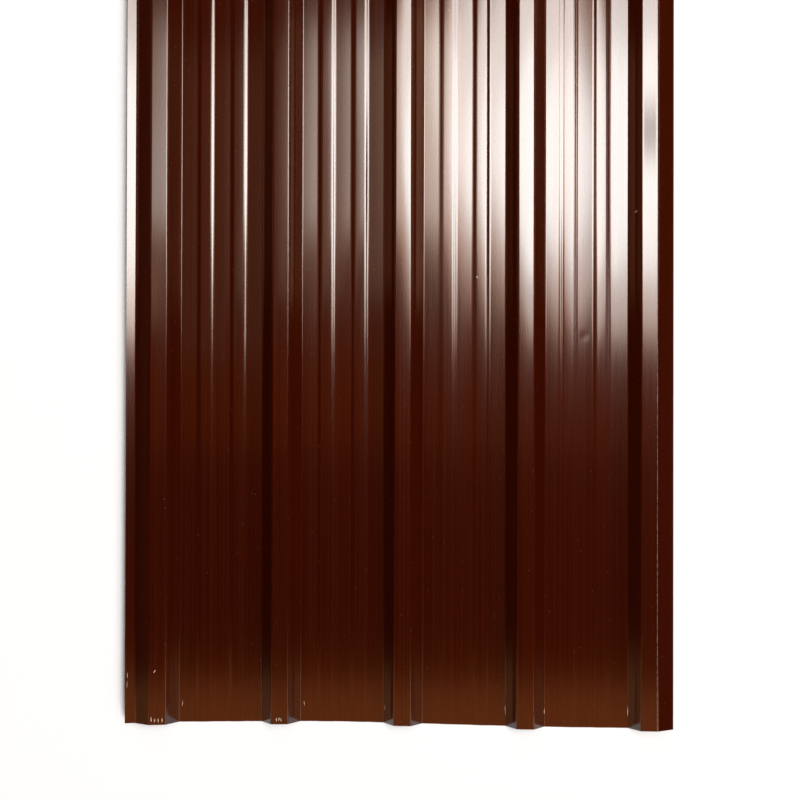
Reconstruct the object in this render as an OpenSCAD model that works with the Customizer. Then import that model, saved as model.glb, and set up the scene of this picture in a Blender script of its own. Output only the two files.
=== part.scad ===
// Box profile roofing sheet: one strip of pre-painted steel, cold rolled into a row of
// trapezoid ribs. Low stiffening ribs run along each pan. The edge ribs stand a little open,
// as free edges do after rolling: their crowns rise outwards and their outer webs are splayed.
// A lip is turned up along the left edge.
// The sheet lies on its pans with the ribs up. X runs across the ribs and Y along them.

/* [Strip] */
// Thickness of the strip
sheet_t = 0.5; // [0.3:0.05:1.2]
// Length of the cut sheet, along the ribs
sheet_len = 2000; // [600:50:6000]

/* [Main ribs] */
// Number of main ribs
rib_count = 5; // [2:1:8]
// Spacing of the main ribs, centre to centre
rib_pitch = 190; // [180:1:260]
// Height of the crown above the pan
rib_h = 28; // [24:0.5:38]
// Width of the crown, corner to corner
crown_w = 26; // [16:0.5:34]
// Slope of a web, from the level
web_angle = 59; // [50:1:72]
// Inside radius of the bends
bend_r = 3.5; // [1:0.25:6]

/* [Stiffening ribs] */
// Number of stiffening ribs in each pan
stiffener_count = 2; // [0:1:2]
// Spacing of the stiffening ribs, centre to centre
stiffener_pitch = 52; // [36:0.5:60]
// Height of a stiffening rib above the pan
stiffener_h = 1; // [0.5:0.1:2.5]
// Width of its top, corner to corner
stiffener_top_w = 16.5; // [8:0.5:18]
// Slope of its flanks, from the level
stiffener_angle = 12; // [6:1:20]
// Inside radius of its bends, as far as its flanks have room for them
stiffener_bend_r = 20; // [4:1:24]

/* [Lap edges] */
// Rise of an edge rib's crown towards the edge, from the level
lap_crown_angle = 6; // [0:1:10]
// Length of the outer web of an edge rib, measured down the slope
lap_web_len = 32; // [24:0.5:38]
// Slope of the outer web, from the level
lap_web_angle = 37; // [30:1:48]
// Width of the lip along the left edge
lip_w = 15; // [8:0.5:22]
// Upward tilt of the lip
lip_angle = 14; // [0:1:20]

/* [Hidden] */

topcoat_brown = "#4f2210";

// Largest turn of one facet round a bend
bend_step = 8;

// Height of the strip's mid-line along the pans and along the crowns
pan_mid = sheet_t / 2;
crown_mid = pan_mid + rib_h;

// Level run of a sloping web or flank, and the length of a flank down its slope
web_run = rib_h / tan(web_angle);
flank_run = stiffener_h / tan(stiffener_angle);
flank_len = stiffener_h / sin(stiffener_angle);

// Straight length that a flank keeps between its two bends
flank_flat = 0.1;

// Mid-line radii of the bends
flank_room_r = (flank_len - flank_flat) / 2 / tan(stiffener_angle / 2);
bend_mid_r = bend_r + sheet_t / 2;
stiffener_mid_r = min(stiffener_bend_r + sheet_t / 2, flank_room_r);

// Level reach of each edge past the centre of its rib, to the outermost corner of its cut
lap_foot_reach = crown_w * cos(lap_crown_angle) - crown_w / 2 + lap_web_len * cos(lap_web_angle);
lip_reach = lap_foot_reach + lip_w * cos(lip_angle) + sheet_t / 2 * sin(lip_angle);
lap_reach = lap_foot_reach + sheet_t / 2 * sin(lap_web_angle);

// Centre of the first rib, which puts the sheet's full width evenly about X = 0
first_rib_x = (lip_reach - lap_reach - (rib_count - 1) * rib_pitch) / 2;

function rib_x(i) = first_rib_x + i * rib_pitch;

// A corner of the mid-line is its place [x, height] and its bend radius
function place(corner) = [corner[0], corner[1]];
function radius(corner) = corner[2];
function heading(from, to) = atan2(to[1] - from[1], to[0] - from[0]);

// A ray of the given length and slope from a point
function along(from, length, slope) = from + length * [cos(slope), sin(slope)];

function with_radius(point, r) = [point[0], point[1], r];

// Outer half of an edge rib: the left one has a lip past its web, the right one ends at the web's foot
function left_edge(x) = let (
        crown_outer = along([x + crown_w / 2, crown_mid], crown_w, 180 - lap_crown_angle),
        valley = along(crown_outer, lap_web_len, 180 + lap_web_angle),
        lip_tip = along(valley, lip_w, 180 - lip_angle)
    ) [with_radius(lip_tip, 0), with_radius(valley, bend_mid_r), with_radius(crown_outer, bend_mid_r)];

function right_edge(x) = let (
        crown_outer = along([x - crown_w / 2, crown_mid], crown_w, lap_crown_angle),
        web_end = along(crown_outer, lap_web_len, -lap_web_angle)
    ) [with_radius(crown_outer, bend_mid_r), with_radius(web_end, 0)];

// Half of a main rib inside the sheet, listed from its left: side -1 is the left half, 1 the right
function inner_half(x, side) = let (
        foot = [x + side * (crown_w / 2 + web_run), pan_mid, bend_mid_r],
        crown_corner = [x + side * crown_w / 2, crown_mid, bend_mid_r]
    ) side < 0 ? [foot, crown_corner] : [crown_corner, foot];

function main_rib(i) = concat(
    i == 0 ? left_edge(rib_x(i)) : inner_half(rib_x(i), -1),
    i == rib_count - 1 ? right_edge(rib_x(i)) : inner_half(rib_x(i), 1)
);

// One stiffening rib, centred on x
function stiffener(x) = let (
        top = stiffener_top_w / 2,
        foot = top + flank_run,
        top_mid = pan_mid + stiffener_h
    ) [
        [x - foot, pan_mid, stiffener_mid_r], [x - top, top_mid, stiffener_mid_r],
        [x + top, top_mid, stiffener_mid_r], [x + foot, pan_mid, stiffener_mid_r]
    ];

// The stiffening ribs of the pan that follows main rib i
function pan(i) = [
    for (k = [0 : 1 : stiffener_count - 1])
        each stiffener(rib_x(i) + rib_pitch / 2 + (k - (stiffener_count - 1) / 2) * stiffener_pitch)
];

// Every corner of the mid-line, from the left edge to the right
corners = [
    for (i = [0 : rib_count - 1])
        each i < rib_count - 1 ? concat(main_rib(i), pan(i)) : main_rib(i)
];

// An arc that rounds corner b between its neighbours, on the face `lift` above the mid-line
function bend(a, b, c, lift) = let (
        before = heading(a, b),
        turn = heading(b, c) - before,
        hand = sign(turn),
        setback = radius(b) * tan(abs(turn) / 2),
        centre = along(along(place(b), setback, before + 180), radius(b), before + 90 * hand),
        reach = radius(b) - hand * lift,
        facets = ceil(abs(turn) / bend_step)
    ) [for (k = [0 : facets]) along(centre, reach, before + turn * k / facets - 90 * hand)];

// A free edge of the strip, cut square to the leg that runs from a to b
function cut_edge(at, a, b, lift) = [along(place(at), lift, heading(a, b) + 90)];

// One face of the strip, from the left edge to the right
function face(lift) = let (last = len(corners) - 1) [
    for (i = [0 : last]) each
        i == 0 ? cut_edge(corners[0], corners[0], corners[1], lift) :
        i == last ? cut_edge(corners[last], corners[last - 1], corners[last], lift) :
        bend(corners[i - 1], corners[i], corners[i + 1], lift)
];

function reversed(list) = [for (i = [len(list) - 1 : -1 : 0]) list[i]];

module section() {
    polygon(concat(face(sheet_t / 2), reversed(face(-sheet_t / 2))));
}

module sheet() {
    color(topcoat_brown)
        rotate([90, 0, 0])
            linear_extrude(height = sheet_len, center = true)
                section();
}

sheet();
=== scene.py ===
# %% [markdown]
# # A box profile roofing sheet
# The real object is one strip of painted steel that a row of rollers has bent into ribs.
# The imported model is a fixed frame: it says where the sheet is and how large it may be.
# This file dresses that frame. It makes a finer skin for the sheet, paints it, and sets
# the floor, the lamps and the camera.

# %% Load the frame
import math
import bpy
import numpy as np
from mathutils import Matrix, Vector


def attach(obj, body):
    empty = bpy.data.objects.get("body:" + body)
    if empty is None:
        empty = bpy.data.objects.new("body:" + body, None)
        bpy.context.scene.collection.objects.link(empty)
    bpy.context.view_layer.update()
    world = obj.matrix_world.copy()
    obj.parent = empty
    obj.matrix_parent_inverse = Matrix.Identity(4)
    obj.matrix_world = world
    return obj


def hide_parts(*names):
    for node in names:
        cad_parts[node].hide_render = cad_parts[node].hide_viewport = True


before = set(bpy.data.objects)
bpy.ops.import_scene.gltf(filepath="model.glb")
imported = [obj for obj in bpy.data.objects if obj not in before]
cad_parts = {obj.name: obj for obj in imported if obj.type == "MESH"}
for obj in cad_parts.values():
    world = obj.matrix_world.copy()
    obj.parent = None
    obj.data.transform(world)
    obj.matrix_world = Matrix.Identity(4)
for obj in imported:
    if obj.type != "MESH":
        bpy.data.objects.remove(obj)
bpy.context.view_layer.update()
MM = 0.001
scene = bpy.context.scene
scene.view_settings.view_transform = "Standard"

# %% [markdown]
# ## The rolled section
# A rolled section is best told as a walk along the strip: go straight, turn round a bend,
# go straight again. We write down the corners that the bends would have if they were sharp,
# and later round each one off with an arc that is tangent to both of its legs. The sizes
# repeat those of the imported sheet, so the skin lies where the solid is.

# %% Sizes of the section
sheet_t = 0.5 * MM
sheet_len = 2000 * MM
rib_count = 5
rib_pitch = 190 * MM
rib_h = 28 * MM
crown_w = 26 * MM
web_angle = math.radians(59)
bend_r = 3.5 * MM
stiffener_pitch = 52 * MM
stiffener_h = 1.0 * MM
stiffener_top_w = 16.5 * MM
stiffener_angle = math.radians(12)
stiffener_bend_r = 20 * MM
lap_crown_angle = math.radians(6)
lap_web_len = 32 * MM
lap_web_angle = math.radians(37)
lip_w = 15 * MM
lip_angle = math.radians(14)

pan_mid = sheet_t / 2
crown_mid = pan_mid + rib_h
web_run = rib_h / math.tan(web_angle)
flank_run = stiffener_h / math.tan(stiffener_angle)
print("web run", round(web_run / MM, 2), "mm, flank run", round(flank_run / MM, 2), "mm")

# %% [markdown]
# ## How true the strip runs
# A real sheet never lies as true as its drawing. Here and there a rib's feet stand up to about a
# millimetre off the floor, so the flats beside it lean a degree or two. On matt paint nobody would
# see it. On gloss paint each lean moves a whole band of reflection, so it is worth keeping.
# Every corner of the section therefore has a lift of its own. In the last pan the stiffening ribs
# also run a little to the left of their place.

# %% Lifts of the corners
# How far each corner of each main rib stands high or low, in mm, from left to right
rib_lift = [(-0.2, -0.6, -0.6, -0.85, 0.0), (0.9, 0.9, 0.8, 0.66), (1.1, 1.1, 0.15, 0.15),
            (0.2, 0.5, 0.3, 0.4), (0.4, 0.4, -1.2, -1.2)]
# The same for the eight corners of the two stiffening ribs in each pan
pan_lift = [(0, 0, 0, 0, 0, 0.25, 0, 0), (0,) * 8,
            (0, -0.3, -0.35, 0.25, 0, 0, 0, 0), (0.9, 0.1, 0.6, 1.1, 0, 0, -0.3, 0.15)]
# How far the stiffening ribs of each pan run to the right of their place, in mm
pan_shift = (0, 0, 0, -2.6)


def ray(start, length, slope):
    """The point at the given distance and slope from a start point."""
    return start[0] + length * math.cos(slope), start[1] + length * math.sin(slope)


def section_corners():
    """Corners of the mid-line from left to right: x, z, bend radius and the kind of leg that follows.

    Each rib is a foot, two crown corners and a foot; each pan holds two stiffening ribs of four
    corners. On the edge ribs the crown rises outwards and the outer web is splayed.
    """
    rows = []
    half = crown_w / 2
    main_r = bend_r + sheet_t / 2
    minor_r = stiffener_bend_r + sheet_t / 2
    for rib in range(rib_count):
        x = rib * rib_pitch
        if rib == 0:
            outer = ray((x + half, crown_mid), crown_w, math.pi - lap_crown_angle)
            valley = ray(outer, lap_web_len, math.pi + lap_web_angle)
            tip = ray(valley, lip_w, math.pi - lip_angle)
            rows += [(*tip, 0, "lip"), (*valley, main_r, "lap_web"), (*outer, main_r, "lap_crown")]
        else:
            crown = "lap_crown" if rib == rib_count - 1 else "crown"
            rows += [(x - half - web_run, pan_mid, main_r, "web"), (x - half, crown_mid, main_r, crown)]
        if rib == rib_count - 1:
            outer = ray((x - half, crown_mid), crown_w, lap_crown_angle)
            rows += [(*outer, main_r, "lap_web"), (*ray(outer, lap_web_len, -lap_web_angle), 0, "end")]
            break
        pan = "pan" if rib else "bowed_pan"
        rows += [(x + half, crown_mid, main_r, "web"), (x + half + web_run, pan_mid, main_r, pan)]
        top, top_mid = stiffener_top_w / 2, pan_mid + stiffener_h
        for side in (-0.5, 0.5):
            centre = x + rib_pitch / 2 + side * stiffener_pitch + pan_shift[rib] * MM
            rows += [(centre - top - flank_run, pan_mid, minor_r, "flank"),
                     (centre - top, top_mid, minor_r, "stiffener"),
                     (centre + top, top_mid, minor_r, "flank"),
                     (centre + top + flank_run, pan_mid, minor_r, pan if side < 0 else "pan")]
    return rows


corners = section_corners()
corner_xz = np.array([row[:2] for row in corners])
corner_r = np.array([row[2] for row in corners])
leg_kind = [row[3] for row in corners[:-1]]
lifts_in_order = [rib_lift[0]]
for pan_lifts, rib_lifts in zip(pan_lift, rib_lift[1:]):
    lifts_in_order += [pan_lifts, rib_lifts]
corner_lift = np.concatenate(lifts_in_order) * MM
print(len(leg_kind), "legs between", len(corners), "corners")

# %% [markdown]
# ## Rounding the bends
# Along a leg the heading of the strip stays the same, and round a bend it changes evenly with
# the distance travelled. So the whole section is one curve: heading against distance. Adding
# up small steps along that heading gives the points, and the wall is the same everywhere.

# %% Walk along the strip
# Samples inside each kind of flat; legs that are not named get three
flat_samples = {"crown": 5, "lap_crown": 5, "stiffener": 5, "flank": 1, "pan": 5, "bowed_pan": 5}
flat_guard = 0.8 * MM
bend_step = 9


def rounded_section():
    """Distance, heading, x and z along the mid-line, and the distance at which each corner comes.

    At a corner with turn t and radius r, the arc starts r*tan(t/2) before the corner and is r*t
    long. Samples stand close to each bend's ends, so that the flats shade flat. Between two samples
    with mean heading h and turn d, the step is ds*sinc(d/2) along h, which is exact on an arc.
    """
    leg = np.diff(corner_xz, axis=0)
    heading = np.arctan2(leg[:, 1], leg[:, 0])
    turn = np.append(np.append(0, np.diff(heading)), 0)
    setback = corner_r * np.tan(np.abs(turn) / 2)
    straight = np.hypot(leg[:, 0], leg[:, 1]) - setback[:-1] - setback[1:]
    arc = corner_r * np.abs(turn)
    leg_start = np.append(0, np.cumsum(straight + arc[1:]))[:-1]
    distance, angle = [], []
    for i, start in enumerate(leg_start):
        guard = min(flat_guard, straight[i] / 4)
        inside = np.linspace(guard, straight[i] - guard, flat_samples.get(leg_kind[i], 3))
        along = np.concatenate([[0], inside, [straight[i]]])
        distance.append(start + along)
        angle.append(np.full(along.size, heading[i]))
        steps = max(4, math.ceil(abs(math.degrees(turn[i + 1])) / bend_step))
        inner = np.arange(1, steps) / steps if i + 1 < len(leg_start) else np.empty(0)
        distance.append(start + straight[i] + inner * arc[i + 1])
        angle.append(heading[i] + inner * turn[i + 1])
    distance, angle = np.concatenate(distance), np.concatenate(angle)
    step, bend = np.diff(distance), np.diff(angle)
    reach = step * np.sinc(bend / 2 / np.pi)
    mean = (angle[1:] + angle[:-1]) / 2
    x = corner_xz[0, 0] + np.append(0, np.cumsum(reach * np.cos(mean)))
    z = corner_xz[0, 1] + np.append(0, np.cumsum(reach * np.sin(mean)))
    corner_s = np.append(leg_start - np.append(0, arc[1:-1] / 2), distance[-1])
    return distance, angle, x, z, corner_s


strip_s, strip_angle, strip_x, strip_z, corner_s = rounded_section()
half_wall = sheet_t / 2 * np.abs(np.sin(strip_angle))
strip_x = strip_x - ((strip_x - half_wall).min() + (strip_x + half_wall).max()) / 2
print("strip", round(strip_s[-1] / MM, 1), "mm wide before rolling,", strip_s.size, "samples across")

# %% [markdown]
# ## Small departures from flat
# Three things bend the flats a little: the lifts above, a slight bow across each flat, and slow
# waves along the length. Each is a height added to the mid-line, so they simply add up. The crowns
# and the first pan bow the most. One small dent, in the last pan, is a smooth pit.

# %% Heights to add
rng = np.random.default_rng(11)
crowning = {"crown": 0.17 * MM, "stiffener": 0.06 * MM, "pan": 0.04 * MM, "bowed_pan": 0.2 * MM}
dent_place = (288 * MM, -392 * MM)
dent_size = (2.6 * MM, 7.0 * MM)
dent_depth = 0.22 * MM


def added_height(x, y):
    """Lift of the corners, plus 4*c*t*(1-t) across each crowned flat, plus waves along y, less the dent.

    Here t runs from 0 to 1 over the flat and c is its crowning. A wave is a cosine along y whose
    height changes from corner to corner, and the deepest trough of them all is taken as the floor.
    The dent is depth * exp(-distance squared in its own sizes).
    """
    still = np.interp(strip_s, corner_s, corner_lift)
    leg = np.clip(np.searchsorted(corner_s, strip_s, side="right") - 1, 0, len(leg_kind) - 1)
    t = (strip_s - corner_s[leg]) / (corner_s[leg + 1] - corner_s[leg])
    still = still + 4 * np.array([crowning.get(kind, 0.0) for kind in leg_kind])[leg] * t * (1 - t)
    wave_height = np.array([0.04, 0.04, 0.03]) * MM
    wave_length = np.array([1.7, 0.74, 0.31])
    weight = rng.normal(0, 1, (3, len(corners))) * wave_height[:, None]
    phase = rng.uniform(0, 2 * np.pi, (3, 1, 1))
    across = np.stack([np.interp(strip_s, corner_s, row) for row in weight])
    waves = (across[:, :, None] * np.cos(2 * np.pi * y[None] / wave_length[:, None, None] + phase)).sum(0)
    away = ((x - dent_place[0]) / dent_size[0]) ** 2 + ((y - dent_place[1]) / dent_size[1]) ** 2
    return still[:, None] + waves - waves.min() - dent_depth * np.exp(-away)


print("lift up to", corner_lift.max() / MM, "mm, dent", dent_depth / MM, "mm deep")

# %% [markdown]
# ## The skin of the sheet
# The skin is two grids, one on each face of the strip, half a wall either side of the mid-line.
# Rows run along the sheet and columns across it. The near end was sheared a little askew and
# hollow, so the rows start on a shallow curve and even out towards the far end. Strips round all
# four edges share the grids' vertices, which closes the skin into one shell.

# %% Make the sheet
cut_skew = 0.0031
cut_hollow = 5.2 * MM
cut_hollow_centre = -110 * MM
cut_hollow_reach = 230 * MM
even_rows, dent_rows = 78, 11
sharp_angle = math.radians(40)


def rows_along():
    """Places of the rows, 0 at the near end and 1 at the far one: even, with extra rows at the dent."""
    even = np.linspace(0, 1, even_rows)
    dent = (dent_place[1] + sheet_len / 2) / sheet_len
    extra = dent + np.linspace(-1.6, 1.6, dent_rows) * dent_size[1] / sheet_len
    return np.sort(np.concatenate([even, extra]))


def sheet_grid():
    """Both faces: point = mid + (-sin h, cos h) * t/2, with y from the near cut to the far cut.

    The near cut is a skew line plus hollow * exp(-(x - centre)^2 / reach^2), moved so that its
    outermost point is the full length's end.
    """
    hollow = cut_hollow * np.exp(-((strip_x - cut_hollow_centre) / cut_hollow_reach) ** 2)
    near = hollow - cut_skew * strip_x
    near = near - near.min() - sheet_len / 2
    v = rows_along()
    y = near[:, None] * (1 - v) + sheet_len / 2 * v
    lift = added_height(np.broadcast_to(strip_x[:, None], y.shape), y)
    faces = []
    for side in (1, -1):
        x = strip_x - side * sheet_t / 2 * np.sin(strip_angle)
        z = strip_z + side * sheet_t / 2 * np.cos(strip_angle)
        faces.append(np.stack([np.broadcast_to(x[:, None], y.shape), y, z[:, None] + lift], axis=-1))
    return faces


def quads(index):
    """Quads of a grid of vertex numbers."""
    return np.stack([index[:-1, :-1], index[1:, :-1], index[1:, 1:], index[:-1, 1:]], -1).reshape(-1, 4)


def closed_sheet(name):
    """Top and underside grids, joined round all four edges by strips that share their vertices."""
    top, under = sheet_grid()
    shape = top.shape[:2]
    top_id = np.arange(top.shape[0] * top.shape[1]).reshape(shape)
    under_id = top_id + top_id.size
    rim = [np.stack([top_id[0], under_id[0]]), np.stack([under_id[-1], top_id[-1]]),
           np.stack([under_id[:, 0], top_id[:, 0]]), np.stack([top_id[:, -1], under_id[:, -1]])]
    groups = [quads(top_id), quads(under_id)[:, ::-1]] + [quads(ring) for ring in rim]
    mesh = bpy.data.meshes.new(name)
    points = np.concatenate([top.reshape(-1, 3), under.reshape(-1, 3)])
    mesh.from_pydata(points.tolist(), [], np.concatenate(groups).tolist())
    slots = np.concatenate([np.full(len(group), min(k, 2)) for k, group in enumerate(groups)])
    mesh.polygons.foreach_set("material_index", slots.astype(np.int32))
    strip = mesh.attributes.new("strip_place", "FLOAT_VECTOR", "POINT")
    across = np.broadcast_to(strip_s[:, None], shape)
    place = np.stack([across, top[..., 1], np.zeros(shape)], -1).reshape(-1, 3)
    strip.data.foreach_set("vector", np.concatenate([place, place]).astype(np.float32).ravel())
    mesh.shade_smooth()
    mesh.set_sharp_from_angle(angle=sharp_angle)
    mesh.validate()
    obj = bpy.data.objects.new(name, mesh)
    scene.collection.objects.link(obj)
    return obj


sheet = closed_sheet("roofing_sheet")
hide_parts("sheet")
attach(sheet, "root")
print("sheet skin", len(sheet.data.polygons) * 2, "triangles")

# %% [markdown]
# ## Colours and nodes
# Colours are written as they would be picked on a screen, in sRGB hex, and one function turns them
# into the linear values that shaders use. A second function adds a node, sets it and links it, so
# each material below reads as a list of what it is made of.

# %% Helpers for materials
def linear(hex_colour):
    """sRGB hex to the linear RGBA that shaders use."""
    srgb = np.array([int(hex_colour[i:i + 2], 16) for i in (1, 3, 5)]) / 255
    return (*np.where(srgb <= 0.04045, srgb / 12.92, ((srgb + 0.055) / 1.055) ** 2.4), 1.0)


def node(tree, kind, settings=None, links=None):
    """Add a node. Settings name its properties or inputs, links name or number inputs and give sockets."""
    made = tree.nodes.new(kind)
    for key, value in (settings or {}).items():
        if isinstance(key, int) or key in made.inputs:
            made.inputs[key].default_value = value
        else:
            setattr(made, key, value)
    for key, socket in (links or {}).items():
        tree.links.new(socket, made.inputs[key])
    return made


def new_material(name):
    """A fresh material, its node tree and its main shader."""
    material = bpy.data.materials.new(name)
    material.use_nodes = True
    return material, material.node_tree, material.node_tree.nodes["Principled BSDF"]


print("brown as linear", [round(c, 4) for c in linear("#340800")[:3]])

# %% [markdown]
# ## The gloss topcoat
# The top is coil coated: polyester enamel is rolled onto the flat strip and baked, and the strip is
# bent afterwards. The film is smooth and thick, so it hides the metal and mirrors the lamps. What
# gives it away as rolled paint is fine: a faint orange peel, and long streaks where it rubbed
# through the rollers. Both follow the strip round its bends, so they read the distance across the
# strip, which the mesh carries as an attribute.

# %% Streaks and orange peel
topcoat, tree, shader = new_material("gloss_polyester_coil_coating")
strip = node(tree, "ShaderNodeAttribute", {"attribute_name": "strip_place"})
streak_width = 1.8 * MM
streak_length = 1400 * MM
fine_place = node(tree, "ShaderNodeMapping", {"Scale": (1 / streak_width, 1 / streak_length, 1)},
                  {"Vector": strip.outputs["Vector"]})
fine_streaks = node(tree, "ShaderNodeTexNoise", {"Scale": 1.0, "Detail": 2.0, "Roughness": 0.6},
                    {"Vector": fine_place.outputs[0]})
broad_width = 11 * MM
broad_length = 900 * MM
broad_place = node(tree, "ShaderNodeMapping", {"Scale": (1 / broad_width, 1 / broad_length, 1)},
                   {"Vector": strip.outputs["Vector"]})
broad_streaks = node(tree, "ShaderNodeTexNoise", {"Scale": 1.0, "Detail": 1.0},
                     {"Vector": broad_place.outputs[0]})
peel_size = 3.5 * MM
peel = node(tree, "ShaderNodeTexNoise", {"Scale": 1 / peel_size, "Detail": 1.0},
            {"Vector": strip.outputs["Vector"]})
print("streaks", streak_width / MM, "and", broad_width / MM, "mm wide, orange peel", peel_size / MM, "mm")

# %% [markdown]
# ## Chips and nicks
# Where the sheet has been dragged or knocked, the enamel is chipped to the pale primer and zinc. The
# near end has short dashes along the first crowns and fine ones at the feet of the webs, where sheets
# rub in a stack, and there are a few nicks elsewhere. Each mark is an ellipse with its own place, lean
# and size. A Mapping node turns the surface into the ellipse's own units, where its rim is at distance
# one, and the smallest distance over all marks draws them all. A fine noise tears their rims.

# %% Chips
# Place x, y, then half width, half length in mm, and lean in degrees
chip_marks = [(-381.7, -987.5, 0.8, 3.6, 4), (-376.4, -989.0, 0.9, 3.0, -6), (-371.0, -989.2, 0.7, 3.2, 3),
              (-364.9, -989.0, 0.8, 3.4, -3), (-187.1, -986.5, 0.8, 3.4, 5), (-183.2, -986.0, 0.7, 3.0, -4),
              (-180.1, -986.5, 0.7, 2.4, 8), (-337.4, -967.0, 0.4, 4.5, -8), (-146.5, -965.5, 0.5, 3.5, 4),
              (-20.6, -970.6, 0.4, 4.5, 3), (167.0, -974.0, 0.4, 8.0, 2), (227.4, -974.5, 0.4, 5.0, -2),
              (356.6, -974.1, 0.45, 7.5, -1), (-376.7, -913.2, 0.7, 3.2, -38), (-422.0, -922.0, 0.3, 4.5, 2),
              (-422.4, -936.5, 0.3, 5.5, -2), (121.6, -299.2, 0.7, 1.6, 15), (366.8, -199.2, 0.6, 2.4, -50)]
place = node(tree, "ShaderNodeTexCoord")
tear_size = 1.1 * MM
# A mark's ellipse is so tall that the height of the surface does not count
any_height = 1000
ragged = node(tree, "ShaderNodeTexNoise", {"Scale": 1 / tear_size, "Detail": 2.0},
              {"Vector": place.outputs["Object"]})
nearest = None
for x, y, half_width, half_length, lean in chip_marks:
    own = node(tree, "ShaderNodeMapping", {
        "vector_type": "TEXTURE", "Location": (x * MM, y * MM, 0), "Rotation": (0, 0, math.radians(lean)),
        "Scale": (half_width * MM, half_length * MM, any_height)}, {"Vector": place.outputs["Object"]})
    away = node(tree, "ShaderNodeVectorMath", {"operation": "LENGTH"}, {0: own.outputs[0]})
    found = away.outputs["Value"]
    if nearest is not None:
        found = node(tree, "ShaderNodeMath", {"operation": "MINIMUM"}, {0: nearest, 1: found}).outputs[0]
    nearest = found
torn = node(tree, "ShaderNodeMath", {"operation": "ADD"}, {0: nearest, 1: ragged.outputs["Fac"]})
chips = node(tree, "ShaderNodeMapRange", {"From Min": 1.25, "From Max": 1.6, "To Min": 1.0, "To Max": 0.0},
             {"Value": torn.outputs[0]})
print(len(chip_marks), "chips and nicks")

# %% [markdown]
# ## The pale line on the last bend
# A pale line of tiny specks runs along most of the length of the last rib's outer crown bend, just on the
# crown's side of it. A narrow band across the strip picks the line out, and a speckle along it decides
# where the pale colour shows.

# %% Pale speckled line
last_bend = corner_s[-2]
pale_line_half = 1.1 * MM
pale_line_centre = float(last_bend - pale_line_half)
speck_width, speck_length = 1.2 * MM, 4 * MM
# Along the sheet, the line is full up to the first place and thinner past the second
full_until, thin_from = -450 * MM, -250 * MM
parts = node(tree, "ShaderNodeSeparateXYZ", None, {0: strip.outputs["Vector"]})
off_bend = node(tree, "ShaderNodeMath", {"operation": "SUBTRACT", 1: pale_line_centre}, {0: parts.outputs["X"]})
off_size = node(tree, "ShaderNodeMath", {"operation": "ABSOLUTE"}, {0: off_bend.outputs[0]})
pale_line_band = node(tree, "ShaderNodeMapRange", {
    "From Min": pale_line_half * 0.3, "From Max": pale_line_half, "To Min": 1.0, "To Max": 0.0},
    {"Value": off_size.outputs[0]})
pale_line_reach = node(tree, "ShaderNodeMapRange", {
    "From Min": thin_from, "From Max": full_until, "To Min": 0.72, "To Max": 1.0},
    {"Value": parts.outputs["Y"]})
pale_line_place = node(tree, "ShaderNodeMapping", {"Scale": (1 / speck_width, 1 / speck_length, 1)},
                 {"Vector": strip.outputs["Vector"]})
pale_line_speckle = node(tree, "ShaderNodeTexNoise", {"Scale": 1.0, "Detail": 3.0, "Roughness": 0.7},
                   {"Vector": pale_line_place.outputs[0]})
pale_line_sum = node(tree, "ShaderNodeMath", {"operation": "MULTIPLY"},
               {0: pale_line_band.outputs[0], 1: pale_line_reach.outputs[0]})
pale_line_level = node(tree, "ShaderNodeMath", {"operation": "MULTIPLY"},
                 {0: pale_line_sum.outputs[0], 1: pale_line_speckle.outputs["Fac"]})
# The pale speckled line along the last rib's outer crown bend: pale colour and rougher gloss where the
# speckle is high
pale_specks = node(tree, "ShaderNodeMapRange", {"From Min": 0.38, "From Max": 0.56, "To Min": 0.0, "To Max": 0.3},
              {"Value": pale_line_level.outputs[0]})
print("rubbed line at", round(pale_line_centre / MM, 1), "mm across the strip")

# %% [markdown]
# ## A smudge and some dust
# The last crown has one dull patch, as a wiped smear leaves. It fills the flat of the crown, fades out
# along it, and some of the gloss is lost inside it. Dust grains are the centres of a cell pattern.

# %% Smudge and dust
smudge_place = (387 * MM, -76 * MM)
smudge_half = (12 * MM, 90 * MM)
smudge_own = node(tree, "ShaderNodeMapping", {
    "vector_type": "TEXTURE", "Location": (*smudge_place, 0), "Scale": (*smudge_half, any_height)},
    {"Vector": place.outputs["Object"]})
smudge_size = node(tree, "ShaderNodeVectorMath", {"operation": "ABSOLUTE"}, {0: smudge_own.outputs[0]})
smudge_away = node(tree, "ShaderNodeSeparateXYZ", None, {0: smudge_size.outputs[0]})
smudge_across = node(tree, "ShaderNodeMapRange", {
    "interpolation_type": "SMOOTHSTEP", "From Min": 1.0, "From Max": 0.6},
    {"Value": smudge_away.outputs["X"]})
smudge_along = node(tree, "ShaderNodeMapRange", {
    "interpolation_type": "SMOOTHSTEP", "From Min": 1.0, "From Max": 0.0},
    {"Value": smudge_away.outputs["Y"]})
smudge = node(tree, "ShaderNodeMath", {"operation": "MULTIPLY"},
              {0: smudge_across.outputs[0], 1: smudge_along.outputs[0]})
# Real dust is finer: the grains are drawn as coarse as they need to show
dust_spacing = 55 * MM
dust_grain = 0.7 * MM
grains = node(tree, "ShaderNodeTexVoronoi", {"voronoi_dimensions": "2D", "Scale": 1 / dust_spacing},
              {"Vector": strip.outputs["Vector"]})
dust = node(tree, "ShaderNodeMapRange", {
    "From Min": dust_grain / dust_spacing, "From Max": 0.0, "To Max": 0.3},
    {"Value": grains.outputs["Distance"]})
print("smudge on the last crown, dust grains", 2 * dust_grain / MM, "mm across")
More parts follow.
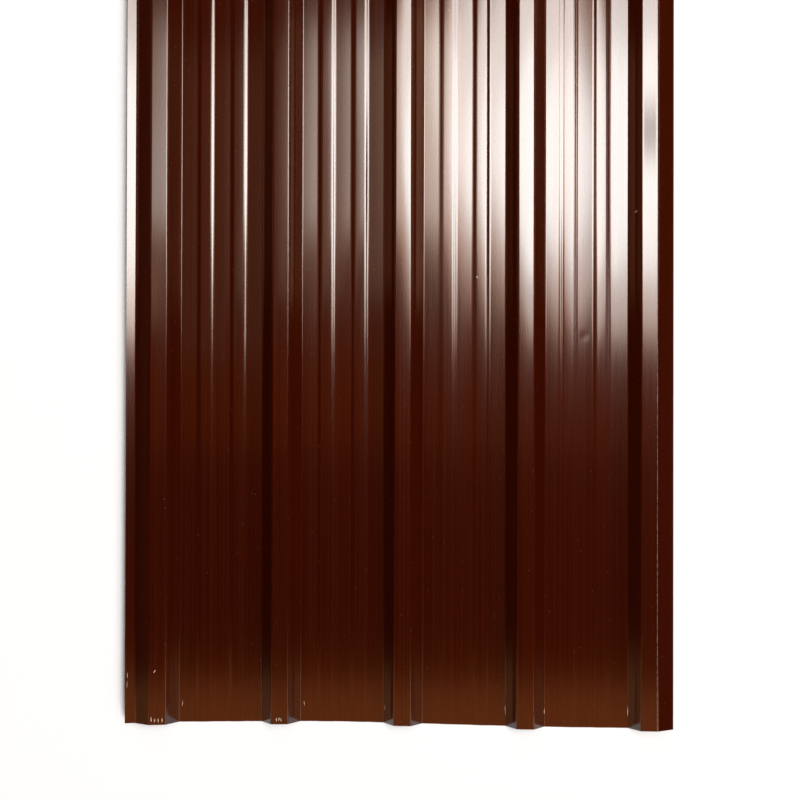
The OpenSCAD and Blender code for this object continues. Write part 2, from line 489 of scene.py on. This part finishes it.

# %% [markdown]
# ## Putting the topcoat together
# The streaks change the brown by one shade and tilt the film by a fraction of a degree, which is
# enough to comb a reflection into fine lines. Chips, dust and the pale line on the last bend are paler and
# rougher.

# %% Topcoat colour, gloss and relief
brown_dark, brown_light, pale_mark_colour = "#340800", "#3f1302", "#d9d3c8"
gloss_best, gloss_worst = 0.112, 0.132
pale_mark_dulling, smudge_dulling = 0.4, 0.17
peel_height, broad_height, fine_height = 0.006 * MM, 0.005 * MM, 0.0004 * MM
streak_tone = node(tree, "ShaderNodeMapRange", {"From Min": 0.3, "From Max": 0.7},
                   {"Value": fine_streaks.outputs["Fac"]})
tone = node(tree, "ShaderNodeMix", {"data_type": "RGBA", 6: linear(brown_dark), 7: linear(brown_light)},
            {0: streak_tone.outputs[0]})
# Chips, dust and the pale line on the last bend all take the same pale colour
pale_marks = node(tree, "ShaderNodeMath", {"operation": "MAXIMUM"}, {0: chips.outputs[0], 1: pale_specks.outputs[0]})
pale_marks = node(tree, "ShaderNodeMath", {"operation": "MAXIMUM"}, {0: pale_marks.outputs[0], 1: dust.outputs[0]})
colour = node(tree, "ShaderNodeMix", {"data_type": "RGBA", 7: linear(pale_mark_colour)},
              {0: pale_marks.outputs[0], 6: tone.outputs[2]})
tree.links.new(colour.outputs[2], shader.inputs["Base Color"])
gloss = node(tree, "ShaderNodeMapRange", {
    "From Min": 0.3, "From Max": 0.7, "To Min": gloss_best, "To Max": gloss_worst},
    {"Value": broad_streaks.outputs["Fac"]})
worn = node(tree, "ShaderNodeMath", {"operation": "MULTIPLY_ADD", 1: pale_mark_dulling},
            {0: pale_marks.outputs[0], 2: gloss.outputs[0]})
rough = node(tree, "ShaderNodeMath", {"operation": "MULTIPLY_ADD", 1: smudge_dulling},
             {0: smudge.outputs[0], 2: worn.outputs[0]})
tree.links.new(rough.outputs[0], shader.inputs["Roughness"])
shader.inputs["IOR"].default_value = 1.55
peel_relief = node(tree, "ShaderNodeBump", {"Strength": 0.5, "Distance": peel_height},
                   {"Height": peel.outputs["Fac"]})
broad_relief = node(tree, "ShaderNodeBump", {"Strength": 0.5, "Distance": broad_height},
                    {"Height": broad_streaks.outputs["Fac"], "Normal": peel_relief.outputs[0]})
fine_relief = node(tree, "ShaderNodeBump", {"Strength": 0.5, "Distance": fine_height},
                   {"Height": fine_streaks.outputs["Fac"], "Normal": broad_relief.outputs[0]})
tree.links.new(fine_relief.outputs[0], shader.inputs["Normal"])
print("topcoat has", len(tree.nodes), "nodes")

# %% [markdown]
# ## The backing coat
# The underside gets a thin grey backing coat, which is only there to protect the zinc. It is
# matt, a little mottled and scuffed along the rollers.

# %% Backing coat
backcoat, tree, shader = new_material("grey_backing_coat_rolled_thin")
strip = node(tree, "ShaderNodeAttribute", {"attribute_name": "strip_place"})
backing_dark, backing_light = "#8b8d8a", "#a3a5a1"
scuff_width, scuff_length, mottle_size = 3 * MM, 600 * MM, 45 * MM
scuff_place = node(tree, "ShaderNodeMapping", {"Scale": (1 / scuff_width, 1 / scuff_length, 1)},
                   {"Vector": strip.outputs["Vector"]})
scuffs = node(tree, "ShaderNodeTexNoise", {"Scale": 1.0, "Detail": 3.0, "Roughness": 0.6},
              {"Vector": scuff_place.outputs[0]})
mottle = node(tree, "ShaderNodeTexNoise", {"Scale": 1 / mottle_size, "Detail": 3.0},
              {"Vector": strip.outputs["Vector"]})
both = node(tree, "ShaderNodeMath", {"operation": "MULTIPLY"},
            {0: scuffs.outputs["Fac"], 1: mottle.outputs["Fac"]})
level = node(tree, "ShaderNodeMapRange", {"From Min": 0.12, "From Max": 0.4}, {"Value": both.outputs[0]})
tone = node(tree, "ShaderNodeMix", {"data_type": "RGBA", 6: linear(backing_dark), 7: linear(backing_light)},
            {0: level.outputs[0]})
tree.links.new(tone.outputs[2], shader.inputs["Base Color"])
gloss = node(tree, "ShaderNodeMapRange", {"To Min": 0.42, "To Max": 0.58}, {"Value": scuffs.outputs["Fac"]})
tree.links.new(gloss.outputs[0], shader.inputs["Roughness"])
print("backing coat has", len(tree.nodes), "nodes")

# %% [markdown]
# ## The sheared edge
# The shear leaves the cut bare: bright steel between two hairlines of zinc. It is half a millimetre
# thick, so all that shows is a fine line that glints here and there, with dull spots in it.

# %% Cut edge
cut, tree, shader = new_material("sheared_galvanised_steel")
steel_dull, steel_bright = "#3a2a22", "#a9abad"
spot_size = 2 * MM
place = node(tree, "ShaderNodeTexCoord")
grain = node(tree, "ShaderNodeTexNoise", {"Scale": 1 / spot_size, "Detail": 2.0},
             {"Vector": place.outputs["Object"]})
tone = node(tree, "ShaderNodeMix", {"data_type": "RGBA", 6: linear(steel_dull), 7: linear(steel_bright)},
            {0: grain.outputs["Fac"]})
tree.links.new(tone.outputs[2], shader.inputs["Base Color"])
shader.inputs["Metallic"].default_value = 1.0
gloss = node(tree, "ShaderNodeMapRange", {"To Min": 0.3, "To Max": 0.55}, {"Value": grain.outputs["Fac"]})
tree.links.new(gloss.outputs[0], shader.inputs["Roughness"])
for material in (topcoat, backcoat, cut):
    sheet.data.materials.append(material)
print("cut edge has", len(tree.nodes), "nodes")

# %% [markdown]
# ## Floor
# The sheet lies on plain white paper. Paper under a lamp is never quite white in a render, so part of
# what the eye and the reflections see of it is a plain white glow. The rest is ordinary matt paper,
# which keeps the sheet's shadow. The plain light comes mostly from the right and in front, so the glow
# also fades on the left of the sheet: an occlusion node, leaned towards that light, measures how much
# of it gets in there.

# %% Floor
floor_reach = 20.0
floor_level = -0.4 * MM
floor_mesh = bpy.data.meshes.new("floor")
floor_signs = ((-1, -1), (1, -1), (1, 1), (-1, 1))
floor_corners = [(x * floor_reach, y * floor_reach, floor_level) for x, y in floor_signs]
floor_mesh.from_pydata(floor_corners, [], [(0, 1, 2, 3)])
floor = bpy.data.objects.new("floor", floor_mesh)
scene.collection.objects.link(floor)
paper, tree, shader = new_material("white_paper_pressed_matt")
shader.inputs["Base Color"].default_value = linear("#fbfbfb")
shader.inputs["Roughness"].default_value = 0.9
shader.inputs["Specular IOR Level"].default_value = 0.0
rays = node(tree, "ShaderNodeLightPath")
seen = node(tree, "ShaderNodeMath", {"operation": "MAXIMUM"},
            {0: rays.outputs["Is Camera Ray"], 1: rays.outputs["Is Glossy Ray"]})
seen_all = node(tree, "ShaderNodeMath", {"operation": "MAXIMUM"},
                {0: seen.outputs[0], 1: rays.outputs["Is Transmission Ray"]})
light_lean = math.radians(35)
light_side = (0.87, -0.5)
shadow_reach = 70 * MM
glow_share = 0.8
towards_light = node(tree, "ShaderNodeCombineXYZ", {
    "X": light_side[0] * math.sin(light_lean), "Y": light_side[1] * math.sin(light_lean),
    "Z": math.cos(light_lean)})
contact = node(tree, "ShaderNodeAmbientOcclusion", {"samples": 16, "Distance": shadow_reach},
               {"Normal": towards_light.outputs[0]})
level = node(tree, "ShaderNodeMapRange", {"From Min": 0.60, "From Max": 0.81, "To Max": 1.1},
             {"Value": contact.outputs["AO"]})
share = node(tree, "ShaderNodeMath", {"operation": "MULTIPLY", 1: glow_share}, {0: seen_all.outputs[0]})
glow = node(tree, "ShaderNodeEmission", {"Color": (1, 1, 1, 1)}, {"Strength": level.outputs[0]})
mix = node(tree, "ShaderNodeMixShader", None,
           {0: share.outputs[0], 1: shader.outputs[0], 2: glow.outputs[0]})
tree.links.new(mix.outputs[0], tree.nodes["Material Output"].inputs["Surface"])
floor_mesh.materials.append(paper)
print("floor", 2 * floor_reach, "m across")

# %% [markdown]
# ## Lamps
# A gloss sheet shows its lamps, so they are placed by where they mirror. What counts there is how
# bright a lamp's face looks, not how much light it gives, so one function works the power out from
# that. The room around them is almost black.

# %% Room and softbox
room_dark = (0.010, 0.008, 0.006, 1)
world = bpy.data.worlds.new("studio")
scene.world = world
world.use_nodes = True
world.node_tree.nodes["Background"].inputs["Color"].default_value = room_dark


def softbox(name, place, size, radiance, shape="RECTANGLE", aim=None, turn=0, colour=(1, 1, 1)):
    """A flat lamp whose face shows the given radiance: power = radiance * pi * area.

    It faces its aim, or straight down with the given turn in degrees.
    """
    lamp = bpy.data.lights.new(name, "AREA")
    lamp.shape = shape
    lamp.size, lamp.size_y = size
    area = size[0] * size[1] * (math.pi / 4 if shape == "ELLIPSE" else 1)
    lamp.energy = radiance * math.pi * area
    lamp.color = colour
    obj = bpy.data.objects.new(name, lamp)
    obj.location = place
    obj.rotation_euler = (0, 0, math.radians(turn))
    if aim:
        obj.rotation_euler = (Vector(aim) - Vector(place)).to_track_quat("-Z", "Y").to_euler()
    scene.collection.objects.link(obj)
    print(name, round(lamp.energy, 1), "W")


print("room", room_dark[:3])

# %% [markdown]
# ## Lamps overhead
# Two overlapping oval softboxes hang over the far right and give the white glow there, and a wider
# warm oval behind them gives it a soft rim. Dimmer panels beside them spill light to the left, and
# two small ones higher up show only in the lip and the first crown, which lean to the right.

# %% Lamps overhead
cool_white = (0.93, 1.0, 1.0)
softbox("oval_key", (0.495, 0.20, 2.65), (0.71, 0.92), 7.0, "ELLIPSE", turn=8, colour=cool_white)
softbox("key_rim", (0.425, 0.45, 2.655), (0.685, 1.09), 12.3, "ELLIPSE", turn=11, colour=cool_white)
softbox("key_halo", (0.43, 0.37, 2.66), (0.95, 1.34), 4.3, "ELLIPSE", turn=10, colour=(1.0, 0.45, 0.22))
softbox("spill", (-0.06, 0.385, 2.665), (0.36, 0.62), 5.0, colour=(0.92, 0.97, 0.93))
softbox("spill_halo", (-0.05, 0.375, 2.67), (0.46, 0.76), 2.3, colour=(1.0, 0.55, 0.35))
softbox("left_spill", (-0.37, 0.25, 2.65), (0.24, 0.78), 1.3, colour=(1.0, 0.6, 0.4))
softbox("warm_spill", (-0.80, 0.15, 2.65), (0.60, 0.95), 0.38, colour=(1.0, 0.5, 0.25))
softbox("lip_glow", (2.54, 0.22, 8.0), (0.28, 0.50), 11.0, colour=(1.0, 0.85, 0.75))
softbox("crown_glow", (-0.14, -0.03, 4.0), (0.10, 0.24), 3.2, colour=(1.0, 0.6, 0.4))

# %% [markdown]
# ## Lamps at the sides and in front
# Two large panels, one in front on the right and one behind, add plain light and cast the soft shadow
# on the left. Small warm panels at the sides show only in the steep webs. A very dim warm panel lies
# where the glow fades out, and a dim warm strip in front tints the near end.

# %% Lamps at the sides and in front
side_reach = 2.6
softbox("right_fill", (2.4, -2.4, 1.8), (1.6, 1.6), 5.5, aim=(0, -0.5, 0), colour=(1.0, 0.8, 0.62))
softbox("back_fill", (0, 3.0, 2.4), (2.4, 1.2), 4.0, aim=(0, 0, 0))
softbox("right_warm", (side_reach, 0.35, 1.22), (0.95, 0.24), 10.0, aim=(0, 0.2, 0), colour=(1.0, 0.5, 0.28))
softbox("left_warm", (-side_reach, 0.32, 1.13), (0.85, 0.22), 3.9, aim=(0, 0.2, 0), colour=(1.0, 0.4, 0.2))
softbox("warm_fade", (0.0, -0.42, 2.65), (2.0, 0.40), 0.3, colour=(1.0, 0.2, 0.04))
softbox("warm_front", (-0.085, -1.51, 2.65), (4.6, 0.32), 1.4, colour=(1.0, 0.31, 0.09))
softbox("low_warm", (-side_reach, -1.48, 0.22), (0.42, 0.24), 0.55, aim=(0, -1.1, 0.22),
        colour=(1.0, 0.41, 0.13))
for side in (-1, 1):
    softbox("warm_side", (side * side_reach, -1.5, 1.25), (0.3, 0.9), 3.5, aim=(0, -0.9, 0),
            colour=(1.0, 0.45, 0.2))

# %% [markdown]
# ## Camera
# The camera looks almost straight down. Its place, turn and lens were worked out from the sheet's
# lines in the photograph: the spacing of the ribs, the lean of the edges and the line of the near cut.

# %% Camera
focal_pixels, image_pixels = 1696.9, 800
camera_place = (0.0850, -0.51905, 2.6501)
camera_turn_degrees = (0.6, 1.797, 0.146)
camera = bpy.data.cameras.new("camera")
camera.sensor_width = 36.0
camera.lens = camera.sensor_width * focal_pixels / image_pixels
camera_object = bpy.data.objects.new("camera", camera)
camera_object.location = camera_place
camera_object.rotation_euler = [math.radians(angle) for angle in camera_turn_degrees]
scene.collection.objects.link(camera_object)
scene.camera = camera_object
print("lens", round(camera.lens, 1), "mm")
